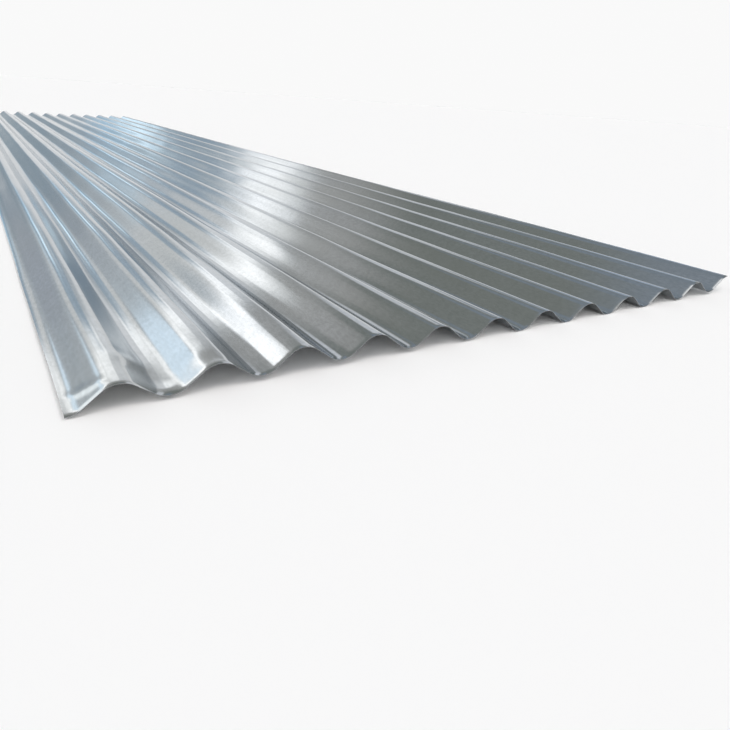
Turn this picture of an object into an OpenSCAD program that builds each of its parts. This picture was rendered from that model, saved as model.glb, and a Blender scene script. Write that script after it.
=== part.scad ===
// Corrugated roofing sheet: one length of zinc-coated steel, rolled into
// round waves. One long edge finishes at the bottom of a trough and the other
// at the top of a crest, so that neighbouring sheets lap over each other.
// X runs across the waves, Y along them and Z up. The origin lies under the
// middle of the sheet, on the surface that its troughs rest on.

/* [Sheet] */
// Length of the sheet, along the waves
sheet_length = 4000; // [600:10:6000]
// Thickness of the metal, zinc included
sheet_thickness = 0.5; // [0.3:0.05:1]

/* [Waves] */
// Distance from one crest to the next
pitch = 76; // [68:1:90]
// Overall depth, from the underside of a trough to the top of a crest
depth = 19; // [15:0.5:21]
// Radius of the bends at crest and trough, on the middle line of the metal
bend_radius = 20; // [10:0.5:22]
// Half waves from the edge turned down to the edge turned up
half_waves = 23; // [3:2:31]

/* [Hidden] */
$fn = 96;

// Height by which a bend's circle crosses the flats beside it, so that bend
// and flat meet on a clean line
bend_crossing = 0.005;
// Length by which a cutting shape runs past what it cuts
overrun = 5;

half_pitch = pitch / 2;
half_thickness = sheet_thickness / 2;
sheet_width = half_waves * half_pitch;

// Height from trough to crest on the middle line, and the radius of the bends:
// the one asked for, or as much of the largest one as leaves a flat between
rise = depth - sheet_thickness;
bend_limit_share = 0.95;
largest_radius = (half_pitch * half_pitch + rise * rise) / (4 * rise);
radius = min(bend_radius, bend_limit_share * largest_radius);

// Heights of the bends' centres, and the line from the centre of a trough's
// bend to that of the crest on its right
trough_z = half_thickness + radius + bend_crossing;
crest_z = depth - trough_z;
centre_line = [half_pitch, crest_z - trough_z];

// Slope of the flat that touches both bends
flat_slope = asin(2 * radius / norm(centre_line)) + atan2(centre_line.y, centre_line.x);

// Level below the lowest point of every bend's circle
fill_floor = crest_z - 2 * radius;

// The bends, numbered from the edge turned down: troughs are even, crests odd
bends = [0 : half_waves];
troughs = [0 : 2 : half_waves];
crests = [1 : 2 : half_waves];
function bend_centre(k) = [k * half_pitch - sheet_width / 2, k % 2 == 0 ? trough_z : crest_z];

// Where the flat on the left (hand -1) or the right (hand 1) of bend k touches
// its circle, on a surface that runs side above the metal's middle line
function touch_point(k, hand, side) =
    k % 2 == 0
        ? bend_centre(k) + (radius - side) * [hand * sin(flat_slope), -cos(flat_slope)]
        : bend_centre(k) + (radius + side) * [hand * sin(flat_slope), cos(flat_slope)];

// Where the flats on both sides of crest k would meet above it
function crest_corner(k, side) = bend_centre(k) + [0, (radius + side) / cos(flat_slope)];

// The flats of a surface that runs side above the metal's middle line, from
// left to right, with sharp corners at the crests and open troughs
function flats(side) = [
    for (k = bends)
        each k % 2 == 0
            ? [touch_point(k, -1, side), touch_point(k, 1, side)]
            : [crest_corner(k, side)]
];

// What is taken off the sharp corner of crest k to round it
module corner_waste(k, side) {
    difference() {
        polygon([
            bend_centre(k),
            touch_point(k, -1, side + overrun),
            crest_corner(k, side + overrun),
            touch_point(k, 1, side + overrun)
        ]);
        translate(bend_centre(k)) circle(radius + side + bend_crossing);
    }
}

// Everything below a surface that runs side above the metal's middle line,
// filled down to floor_level and some way past both long edges
module below_surface(side, floor_level) {
    left = -sheet_width / 2 - half_pitch;
    right = sheet_width / 2 + half_pitch;
    difference() {
        polygon(concat(flats(side), [[right, floor_level], [left, floor_level]]));
        for (k = crests) corner_waste(k, side);
        for (k = troughs)
            translate(bend_centre(k)) circle(radius - side + bend_crossing);
    }
}

// Section of the metal across the waves, sheared off square at both edges
module sheet_section() {
    intersection() {
        difference() {
            below_surface(half_thickness, fill_floor);
            below_surface(-half_thickness, fill_floor - overrun);
        }
        translate([-sheet_width / 2, fill_floor - overrun])
            square([sheet_width, depth - fill_floor + 2 * overrun]);
    }
}

module roofing_sheet() {
    color([0.66, 0.69, 0.71])
        rotate([90, 0, 0])
            linear_extrude(height = sheet_length, center = true)
                sheet_section();
}

roofing_sheet();
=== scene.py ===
"""Looks of the corrugated roofing sheet: fine wave mesh, galvanised finish, studio and camera.

All lengths are in metres and all angles in degrees. X runs across the waves, Y along them, Z up.
"""
import math

import bpy
import numpy as np
from mathutils import Matrix, Vector


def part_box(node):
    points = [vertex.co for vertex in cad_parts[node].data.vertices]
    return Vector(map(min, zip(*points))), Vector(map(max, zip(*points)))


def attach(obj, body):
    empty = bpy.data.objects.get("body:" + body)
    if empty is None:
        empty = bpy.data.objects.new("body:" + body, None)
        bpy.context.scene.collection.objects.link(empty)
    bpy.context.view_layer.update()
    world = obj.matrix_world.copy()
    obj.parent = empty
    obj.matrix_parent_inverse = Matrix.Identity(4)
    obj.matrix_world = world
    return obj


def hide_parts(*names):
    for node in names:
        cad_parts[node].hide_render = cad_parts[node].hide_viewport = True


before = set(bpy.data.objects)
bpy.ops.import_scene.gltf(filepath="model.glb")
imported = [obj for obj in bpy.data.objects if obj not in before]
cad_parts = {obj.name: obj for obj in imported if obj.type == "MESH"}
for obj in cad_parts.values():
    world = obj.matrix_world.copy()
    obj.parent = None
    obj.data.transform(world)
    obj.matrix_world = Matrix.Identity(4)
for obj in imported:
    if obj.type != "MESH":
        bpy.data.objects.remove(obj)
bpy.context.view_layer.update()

# Sizes of the sheet, from its box and its profile
NODE = "roofing_sheet"
PIECE = "corrugated_sheet"
sheet_low, sheet_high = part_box(NODE)
WIDTH = sheet_high.x - sheet_low.x
LENGTH = sheet_high.y - sheet_low.y
DEPTH = sheet_high.z - sheet_low.z
HALF_WAVES = 23
THICKNESS = 0.0005
BEND_RADIUS = 0.020
HALF_PITCH = WIDTH / HALF_WAVES
NEAR_END = sheet_low.y

# Fineness of the wave mesh
BEND_STEPS = 6
FLAT_STEPS = 3
ROWS = 140
END_FINENESS = 0.05
ROW_POWER = 2.4
SHARP_ANGLE = 40

# Slow lift of the near end off the floor: a hump on the left, and a rise to the right edge
HUMP_LIFT = 0.007
HUMP_X = -0.224
HUMP_HALF_WIDTH = 0.178
SIDE_LIFT = 0.005
SIDE_LIFT_START = 0.200
SIDE_LIFT_POWER = 1.3
LIFT_FADE = 1.8

# Wander of the bends along the sheet
WANDER = 0.0013
WANDER_LENGTHS = (2.3, 1.1, 0.45, 0.20)
SAG = 0.0007
SEED = 7

# Knocks at the near left corner: x, distance from the end, half-widths across and along, height
KNOCKS = [
    (-0.381, 0.062, 0.012, 0.018, 0.0013),
    (-0.362, 0.010, 0.010, 0.009, 0.0006),
    (-0.340, 0.030, 0.012, 0.016, 0.0006),
    (-0.318, 0.012, 0.008, 0.010, -0.0004),
]

# Crease on the first flat, cutting across the near left corner on a slant
CREASE_HEIGHT = 0.0008
CREASE_HALF_WIDTH = 0.0055
CREASE_X = -0.419
CREASE_HALF_LENGTH = 0.012
CREASE_FROM_END = 0.022
CREASE_SLANT = 0.67
CREASE_END_POWER = 4

# Near end turned down a little by the shear
LIP_DROP = 0.0004
LIP_LENGTH = 0.0045

# Zinc finish: crystals a metre, and the noises' waves a metre along X, Y and Z with their detail
CRYSTALS = 130
STREAK_SCALE = (160, 2.5, 160)
STREAK_DETAIL = 3
PATCH_SCALE = (5, 2.2, 5)
PATCH_DETAIL = 3
GRAIN_SCALE = (420, 140, 420)
GRAIN_DETAIL = 4

# Part of a noise's range that is spread out, for colours and for roughness
COLOUR_NOISE = (0.35, 0.65)
ROUGH_NOISE = (0.3, 0.7)

# Colours of the zinc, with the shares by which crystals and grain brighten it and patches dull it
DARK_ZINC = (0.55, 0.57, 0.58)
BRIGHT_ZINC = (0.72, 0.74, 0.76)
DULL_ZINC = (0.59, 0.595, 0.57)
GRAZING_TINT = (0.78, 0.80, 0.82)
CRYSTAL_SHARES = (0.15, 0.40)
GRAIN_SHARES = (0.10, 0.50)
DULL_SHARES = (0, 0.5)

# Roughness that streaks and patches add up to, and the bump of the grain
STREAK_ROUGHNESS = (0.05, 0.10)
PATCH_ROUGHNESS = (0.02, 0.07)
BUMP_STRENGTH = 0.025
BUMP_DISTANCE = 0.0004

# Bare steel of the sheared edges
EDGE_COLOUR = (0.30, 0.31, 0.32)
EDGE_ROUGHNESS = 0.45

# Pale floor
FLOOR_REACH = 120.0
FLOOR_COLOUR = (0.95, 0.95, 0.95)
FLOOR_ROUGHNESS = 0.9

# Studio that the metal mirrors: a grey room with soft panels, each laid over those before it. A panel
# has a name, its azimuths, what its height is measured by, its ends in that measure, the widths of its
# soft edges across and upward, and its colour. Azimuths run from +Y towards +X
ROOM = (0.46, 0.47, 0.48)
PANELS = [
    ("top_light", (-190, 190), "elevation", (66, 95), (16, 16), (1.1, 1.1, 1.1)),
    ("key_light_right", (100, 140), "elevation", (36, 62), (8, 8), (4.54, 4.40, 4.33)),
    ("key_light_left", (-140, -100), "elevation", (36, 62), (8, 8), (4.54, 4.40, 4.33)),
    ("back_strip_right", (150, 190), "elevation", (20, 31), (5, 5), (1.4, 1.4, 1.4)),
    ("back_strip_left", (-190, -150), "elevation", (20, 31), (5, 5), (1.4, 1.4, 1.4)),
    ("backdrop_round", (-190, 190), "elevation", (-12, 20), (10, 10), (0.95, 0.95, 0.95)),
    ("front_wall", (-42, 69), "elevation", (6, 68), (16, 12), (0.234, 0.252, 0.240)),
    ("blue_wall", (15, 60), "elevation", (38, 68), (10, 10), (0.250, 0.293, 0.340)),
    ("blue_wall_top", (-10, 60), "elevation", (57.5, 70), (8, 8), (0.265, 0.303, 0.345)),
    ("side_panel", (25, 41), "elevation", (11, 30), (6, 6), (0.74, 0.76, 0.80)),
    ("side_panel_middle", (41, 50), "elevation", (11, 30), (6, 6), (0.42, 0.46, 0.51)),
    ("side_panel_end", (50, 64), "elevation", (11, 33), (6, 6), (0.46, 0.54, 0.66)),
    ("grey_wall", (-40, -5), "elevation", (28, 38), (9, 9), (0.36, 0.36, 0.35)),
    ("arch_glow", (-20, 30), "arch", (25, 35.2), (8, 8), (0.445, 0.450, 0.445)),
    ("arch_wall", (-44, 50), "arch", (2, 28), (18, 3), (0.56, 0.60, 0.63)),
    ("arch_light_left", (-28, -16), "arch", (23, 29.5), (4, 3.5), (1.72, 1.72, 1.72)),
    ("arch_light_middle", (-16, -4), "arch", (22, 27), (4, 3.5), (1.72, 1.72, 1.72)),
    ("arch_light", (-4, 14), "arch", (21.8, 27), (4, 3.5), (1.62, 1.62, 1.62)),
    ("arch_light_right", (14, 27), "arch", (19, 27.5), (5, 5), (1.00, 1.01, 1.03)),
    ("left_glow", (-44, -15), "elevation", (15.5, 22.5), (3, 3), (1.02, 1.20, 1.36)),
    ("left_window", (-44, -26.5), "elevation", (12, 28), (3, 3), (1.35, 1.42, 1.46)),
    ("middle_glow", (-11, -2.5), "elevation", (13, 22.5), (3, 3), (0.80, 0.81, 0.81)),
    ("blue_grey", (-3, 9), "elevation", (7.5, 21.5), (4, 3), (0.40, 0.50, 0.59)),
    ("blue_glow", (-6, -3), "elevation", (10.8, 14), (2, 2), (0.72, 0.88, 1.00)),
    ("spot_side", (1, 7), "elevation", (9.8, 15), (2, 2), (0.66, 0.74, 0.80)),
    ("blue_fringe", (-1.4, 2), "elevation", (9.6, 12.2), (2, 1.5), (0.50, 0.78, 1.02)),
    ("blue_spot", (-0.8, 2), "elevation", (11.2, 14.8), (1.6, 1.6), (1.36, 1.66, 1.84)),
    ("foot", (-42, 12), "elevation", (3, 8.5), (20, 4), (0.34, 0.42, 0.48)),
    ("foot_left", (-19, -9), "elevation", (3, 9.5), (6, 4), (0.475, 0.510, 0.555)),
    ("backdrop", (0.2, 40), "elevation", (-12, 9), (3, 1.5), (0.95, 0.95, 0.95)),
    ("backdrop_right", (32, 80), "elevation", (-12, 12), (7, 7), (0.95, 0.95, 0.95)),
]

# Camera, fitted to the photograph's 730 by 730 frame, with its lens in millimetres
CAMERA_PLACE = (-0.4613, -2.4138, 0.2215)
CAMERA_AZIMUTH = 33.82
CAMERA_TILT = -24.29
CAMERA_ROLL = 4.14
CAMERA_LENS = 28.88

# Numbers of the sockets that carry colours on a Mix node
MIX_FIRST = 6
MIX_SECOND = 7
MIX_RESULT = 2


def sheet_profile():
    """Middle line of the metal: x and z from the edge turned down to the edge turned up."""
    rise = DEPTH - THICKNESS
    run = math.hypot(HALF_PITCH, rise - 2 * BEND_RADIUS)
    slope = math.asin(2 * BEND_RADIUS / run) + math.atan2(rise - 2 * BEND_RADIUS, HALF_PITCH)
    turn = np.linspace(0, slope, BEND_STEPS + 1)
    trough = np.stack([BEND_RADIUS * np.sin(turn), BEND_RADIUS * (1 - np.cos(turn))], 1)
    crest = np.array([HALF_PITCH, rise]) - trough[::-1]
    share = np.linspace(0, 1, FLAT_STEPS + 1)[1:-1, None]
    flat = trough[-1] * (1 - share) + crest[0] * share
    half_wave = np.concatenate([trough, flat, crest])
    points = []
    for k in range(HALF_WAVES):
        piece = half_wave if k % 2 == 0 else half_wave * (1, -1) + (0, rise)
        points.append(piece[:-1] + (k * HALF_PITCH, 0))
    points.append(np.array([[WIDTH, rise]]))
    line = np.concatenate(points)
    return line[:, 0] + sheet_low.x, line[:, 1] + sheet_low.z + THICKNESS / 2


def sheet_rows():
    """Places along the sheet at which the section is drawn, closer together at the near end."""
    share = np.linspace(0, 1, ROWS)
    return NEAR_END + LENGTH * (END_FINENESS * share + (1 - END_FINENESS) * share ** ROW_POWER)


def wander_of_bends(rows, size, rng):
    """Smooth drift of each bend along the sheet: one line of values for each bend."""
    drift = np.zeros((HALF_WAVES + 1, len(rows)))
    whole = sum(math.sqrt(length) for length in WANDER_LENGTHS)
    for length in WANDER_LENGTHS:
        phase = rng.uniform(0, 2 * math.pi, (HALF_WAVES + 1, 1))
        drift += np.sin(2 * math.pi * rows[None, :] / length + phase) * math.sqrt(length) / whole
    return size * drift


def between_bends(values, x):
    """Values given at the bends, eased from one bend to the next at the places x across the sheet."""
    place = np.clip((x - sheet_low.x) / HALF_PITCH, 0, HALF_WAVES)
    left = np.minimum(place.astype(int), HALF_WAVES - 1)
    share = place - left
    ease = (share * share * (3 - 2 * share))[:, None]
    return values[left] * (1 - ease) + values[left + 1] * ease


def end_lift(x, y):
    """Height by which the sheet stands off the floor towards its near end."""
    hump = HUMP_LIFT * np.exp(-((x - HUMP_X) / HUMP_HALF_WIDTH) ** 2)
    reach = np.clip((x - SIDE_LIFT_START) / (sheet_high.x - SIDE_LIFT_START), 0, None)
    side = SIDE_LIFT * reach ** SIDE_LIFT_POWER
    away = np.clip((y - NEAR_END) / LIFT_FADE, 0, 1)
    return (hump + side) * (0.5 + 0.5 * np.cos(math.pi * away))


def end_knocks(x, y):
    """Small dents and bumps at the near left corner, and the crease across the corner itself."""
    from_end = y - NEAR_END
    height = np.zeros_like(x)
    for knock_x, knock_y, across, along, lift in KNOCKS:
        height += lift * np.exp(-((x - knock_x) / across) ** 2 - ((from_end - knock_y) / along) ** 2)
    crease = CREASE_FROM_END - CREASE_SLANT * (x - CREASE_X)
    ridge = CREASE_HEIGHT * np.exp(-((from_end - crease) / CREASE_HALF_WIDTH) ** 2)
    return height + ridge * np.exp(-((x - CREASE_X) / CREASE_HALF_LENGTH) ** CREASE_END_POWER)


def end_lip(y):
    """Drop of the metal towards the sheared near end."""
    share = np.clip(1 - (y - NEAR_END) / LIP_LENGTH, 0, 1)
    return LIP_DROP * share ** 2


def sheet_surface():
    """Points of the upper and the lower face, each as an array of section by row by xyz."""
    rng = np.random.default_rng(SEED)
    x, z = sheet_profile()
    rows = sheet_rows()
    shift = between_bends(wander_of_bends(rows, WANDER, rng), x)
    sag = between_bends(np.abs(wander_of_bends(rows, SAG, rng)), x)
    x = x[:, None] + shift
    y = np.broadcast_to(rows, x.shape)
    z = z[:, None] + sag + end_lift(x, y) + end_knocks(x, y) - end_lip(y)
    # No trough sinks below the floor
    z = np.maximum(z, sheet_low.z + THICKNESS / 2)
    along_x = np.gradient(x, axis=0)
    along_z = np.gradient(z, axis=0)
    length = np.hypot(along_x, along_z)
    off_x = -along_z / length * THICKNESS / 2
    off_z = along_x / length * THICKNESS / 2
    upper = np.stack([x + off_x, y, z + off_z], -1)
    lower = np.stack([x - off_x, y, z - off_z], -1)
    return upper, lower


def grid_faces(first, columns, rows, flip):
    """Quads of a grid of points numbered from first, row by row within each column."""
    column = np.arange(columns - 1)[:, None] * rows
    row = np.arange(rows - 1)[None, :]
    corner = (first + column + row).ravel()
    quads = np.stack([corner, corner + rows, corner + rows + 1, corner + 1], 1)
    return quads[:, ::-1] if flip else quads


def rim_faces(upper_rim, lower_rim):
    """Quads that join the rims of both faces round the sheet."""
    following_upper = np.roll(upper_rim, -1)
    following_lower = np.roll(lower_rim, -1)
    return np.stack([upper_rim, lower_rim, following_lower, following_upper], 1)


def rim_of(first, columns, rows):
    """Numbers of the points round the edge of a grid, once round, anticlockwise seen from above."""
    number = first + np.arange(columns * rows).reshape(columns, rows)
    return np.concatenate([number[:-1, 0], number[-1, :-1], number[:0:-1, -1], number[0, :0:-1]])


def make_sheet():
    """The sheet as one closed mesh, smooth over the waves and sharp at its sheared edges."""
    upper, lower = sheet_surface()
    columns, rows = upper.shape[:2]
    count = columns * rows
    points = np.concatenate([upper.reshape(-1, 3), lower.reshape(-1, 3)])
    upper_rim = rim_of(0, columns, rows)
    lower_rim = rim_of(count, columns, rows)
    faces = np.concatenate([
        grid_faces(0, columns, rows, False),
        grid_faces(count, columns, rows, True),
        rim_faces(upper_rim, lower_rim),
    ])
    mesh = bpy.data.meshes.new(PIECE)
    mesh.from_pydata(points.tolist(), [], faces.tolist())
    mesh.materials.append(zinc_material())
    mesh.materials.append(sheared_edge_material())
    rim_start = len(faces) - len(upper_rim)
    material_number = np.zeros(len(faces), dtype=np.int32)
    material_number[rim_start:] = 1
    mesh.polygons.foreach_set("material_index", material_number)
    mesh.polygons.foreach_set("use_smooth", np.ones(len(faces), dtype=bool))
    mesh.update()
    mesh.set_sharp_from_angle(angle=math.radians(SHARP_ANGLE))
    piece = bpy.data.objects.new(PIECE, mesh)
    bpy.context.scene.collection.objects.link(piece)
    return piece


def new_material(name):
    """A node material, and the nodes and links of its tree."""
    material = bpy.data.materials.new(name)
    material.use_nodes = True
    return material, material.node_tree.nodes, material.node_tree.links


def opaque(colour):
    """A colour with full alpha, as a shader's colour socket takes it."""
    return (*colour, 1)


def noise(nodes, links, place, scale, detail):
    """Grain from noise, with its scale along each axis in waves a metre."""
    stretch = nodes.new("ShaderNodeMapping")
    stretch.inputs["Scale"].default_value = scale
    links.new(place, stretch.inputs["Vector"])
    grain = nodes.new("ShaderNodeTexNoise")
    grain.inputs["Scale"].default_value = 1.0
    grain.inputs["Detail"].default_value = detail
    links.new(stretch.outputs["Vector"], grain.inputs["Vector"])
    return grain.outputs["Fac"]


def crystals(nodes, links, place):
    """One value from 0 to 1 for each crystal of the zinc."""
    cells = nodes.new("ShaderNodeTexVoronoi")
    cells.inputs["Scale"].default_value = CRYSTALS
    links.new(place, cells.inputs["Vector"])
    split = nodes.new("ShaderNodeSeparateColor")
    links.new(cells.outputs["Color"], split.inputs["Color"])
    return split.outputs["Red"]


def spread(nodes, links, value, source, target):
    """A value carried from one range of numbers to another and held at its ends."""
    carry = nodes.new("ShaderNodeMapRange")
    carry.inputs["From Min"].default_value = source[0]
    carry.inputs["From Max"].default_value = source[1]
    carry.inputs["To Min"].default_value = target[0]
    carry.inputs["To Max"].default_value = target[1]
    links.new(value, carry.inputs["Value"])
    return carry.outputs["Result"]


def calculate(nodes, links, operation, *values):
    """One step of arithmetic on values, each a fixed number or another node's output."""
    step = nodes.new("ShaderNodeMath")
    step.operation = operation
    for socket, value in zip(step.inputs, values):
        if isinstance(value, (int, float)):
            socket.default_value = value
        else:
            links.new(value, socket)
    return step.outputs["Value"]


def tint(nodes, links, share, first, second):
    """A colour between two others, each a fixed colour or another node's output."""
    mix = nodes.new("ShaderNodeMix")
    mix.data_type = "RGBA"
    links.new(share, mix.inputs["Factor"])
    for number, colour in ((MIX_FIRST, first), (MIX_SECOND, second)):
        if isinstance(colour, tuple):
            mix.inputs[number].default_value = opaque(colour)
        else:
            links.new(colour, mix.inputs[number])
    return mix.outputs[MIX_RESULT]


def zinc_material():
    """Bright galvanised steel: crystals of zinc, rolling streaks, dull patches and a fine grain."""
    material, nodes, links = new_material("galvanised_zinc")
    shader = nodes["Principled BSDF"]
    place = nodes.new("ShaderNodeTexCoord").outputs["Object"]
    crystal = crystals(nodes, links, place)
    streak = noise(nodes, links, place, STREAK_SCALE, STREAK_DETAIL)
    patch = noise(nodes, links, place, PATCH_SCALE, PATCH_DETAIL)
    grain = noise(nodes, links, place, GRAIN_SCALE, GRAIN_DETAIL)

    crystal_share = spread(nodes, links, crystal, (0, 1), CRYSTAL_SHARES)
    grain_share = spread(nodes, links, grain, COLOUR_NOISE, GRAIN_SHARES)
    bright_share = calculate(nodes, links, "ADD", crystal_share, grain_share)
    clean = tint(nodes, links, bright_share, DARK_ZINC, BRIGHT_ZINC)
    dull_share = spread(nodes, links, patch, COLOUR_NOISE, DULL_SHARES)
    colour = tint(nodes, links, dull_share, clean, DULL_ZINC)
    links.new(colour, shader.inputs["Base Color"])

    streak_rough = spread(nodes, links, streak, ROUGH_NOISE, STREAK_ROUGHNESS)
    patch_rough = spread(nodes, links, patch, ROUGH_NOISE, PATCH_ROUGHNESS)
    rough = calculate(nodes, links, "ADD", streak_rough, patch_rough)
    links.new(rough, shader.inputs["Roughness"])

    bump = nodes.new("ShaderNodeBump")
    bump.inputs["Strength"].default_value = BUMP_STRENGTH
    bump.inputs["Distance"].default_value = BUMP_DISTANCE
    links.new(grain, bump.inputs["Height"])
    links.new(bump.outputs["Normal"], shader.inputs["Normal"])
    shader.inputs["Metallic"].default_value = 1.0
    shader.inputs["Specular Tint"].default_value = opaque(GRAZING_TINT)
    return material


def sheared_edge_material():
    """Bare steel of the sheared edges."""
    material, nodes, _ = new_material("sheared_steel")
    shader = nodes["Principled BSDF"]
    shader.inputs["Metallic"].default_value = 1.0
    shader.inputs["Base Color"].default_value = opaque(EDGE_COLOUR)
    shader.inputs["Roughness"].default_value = EDGE_ROUGHNESS
    return material


def floor_material():
    """Matt pale floor without gloss."""
    material, nodes, _ = new_material("pale_floor")
    shader = nodes["Principled BSDF"]
    shader.inputs["Base Color"].default_value = opaque(FLOOR_COLOUR)
    shader.inputs["Roughness"].default_value = FLOOR_ROUGHNESS
    shader.inputs["Specular IOR Level"].default_value = 0.0
    return material


def panel_mask(nodes, links, angle, ends, softness):
    """How far a direction's angle lies inside two ends, from 0 outside to 1 inside."""
    middle = (ends[0] + ends[1]) / 2
    half = (ends[1] - ends[0]) / 2
    offset = calculate(nodes, links, "SUBTRACT", angle, middle)
    distance = calculate(nodes, links, "ABSOLUTE", offset)
    inside = nodes.new("ShaderNodeMapRange")
    inside.interpolation_type = "SMOOTHSTEP"
    inside.inputs["From Min"].default_value = half + softness / 2
    inside.inputs["From Max"].default_value = half - softness / 2
    links.new(distance, inside.inputs["Value"])
    return inside.outputs["Result"]


def world_angles(nodes, links):
    """Azimuth, elevation and arch, in degrees, of the direction looked in.

    Left of azimuth 0 the arch is the size of the elevation. Right of it, it is the distance from
    azimuth 0 on the horizon, so that a band of the same arch bends down there.
    """
    place = nodes.new("ShaderNodeTexCoord")
    split = nodes.new("ShaderNodeSeparateXYZ")
    links.new(place.outputs["Generated"], split.inputs["Vector"])
    around = calculate(nodes, links, "ARCTAN2", split.outputs["X"], split.outputs["Y"])
    above = calculate(nodes, links, "ARCSINE", split.outputs["Z"])
    azimuth = calculate(nodes, links, "DEGREES", around)
    elevation = calculate(nodes, links, "DEGREES", above)
    to_right = calculate(nodes, links, "MAXIMUM", azimuth, 0.0)
    right_square = calculate(nodes, links, "MULTIPLY", to_right, to_right)
    up_square = calculate(nodes, links, "MULTIPLY", elevation, elevation)
    squares = calculate(nodes, links, "ADD", right_square, up_square)
    arch = calculate(nodes, links, "SQRT", squares)
    return {"azimuth": azimuth, "elevation": elevation, "arch": arch}


def make_world():
    """Grey room with the panels laid over it."""
    world = bpy.data.worlds.new("studio")
    bpy.context.scene.world = world
    world.use_nodes = True
    nodes, links = world.node_tree.nodes, world.node_tree.links
    angles = world_angles(nodes, links)
    colour = ROOM
    for name, azimuths, measure, ends, softness, shade in PANELS:
        across = panel_mask(nodes, links, angles["azimuth"], azimuths, softness[0])
        upward = panel_mask(nodes, links, angles[measure], ends, softness[1])
        cover = calculate(nodes, links, "MULTIPLY", across, upward)
        cover.node.label = name
        colour = tint(nodes, links, cover, colour, shade)
    links.new(colour, nodes["Background"].inputs["Color"])


def make_floor():
    """Plain pale floor under the sheet."""
    mesh = bpy.data.meshes.new("floor")
    corners = [
        (-FLOOR_REACH, -FLOOR_REACH, 0),
        (FLOOR_REACH, -FLOOR_REACH, 0),
        (FLOOR_REACH, FLOOR_REACH, 0),
        (-FLOOR_REACH, FLOOR_REACH, 0),
    ]
    mesh.from_pydata(corners, [], [(0, 1, 2, 3)])
    mesh.materials.append(floor_material())
    floor = bpy.data.objects.new("floor", mesh)
    floor.location.z = sheet_low.z
    bpy.context.scene.collection.objects.link(floor)


def direction(azimuth, elevation):
    """Unit vector towards an azimuth, from +Y towards +X, and an elevation."""
    around = math.radians(azimuth)
    above = math.radians(elevation)
    level = math.cos(above)
    return Vector((math.sin(around) * level, math.cos(around) * level, math.sin(above)))


def make_camera():
    """Camera at the photograph's place and angle."""
    data = bpy.data.cameras.new("camera")
    data.lens = CAMERA_LENS
    camera = bpy.data.objects.new("camera", data)
    forward = direction(CAMERA_AZIMUTH, CAMERA_TILT)
    level = forward.cross(Vector((0, 0, 1))).normalized()
    upright = level.cross(forward)
    roll = math.radians(CAMERA_ROLL)
    right = level * math.cos(roll) + upright * math.sin(roll)
    up = upright * math.cos(roll) - level * math.sin(roll)
    turn = Matrix((right, up, -forward)).transposed()
    camera.matrix_world = Matrix.Translation(CAMERA_PLACE) @ turn.to_4x4()
    bpy.context.scene.collection.objects.link(camera)
    bpy.context.scene.camera = camera


bpy.context.scene.view_settings.view_transform = "Standard"
sheet = make_sheet()
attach(sheet, "root")
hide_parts(NODE)
make_world()
make_floor()
make_camera()
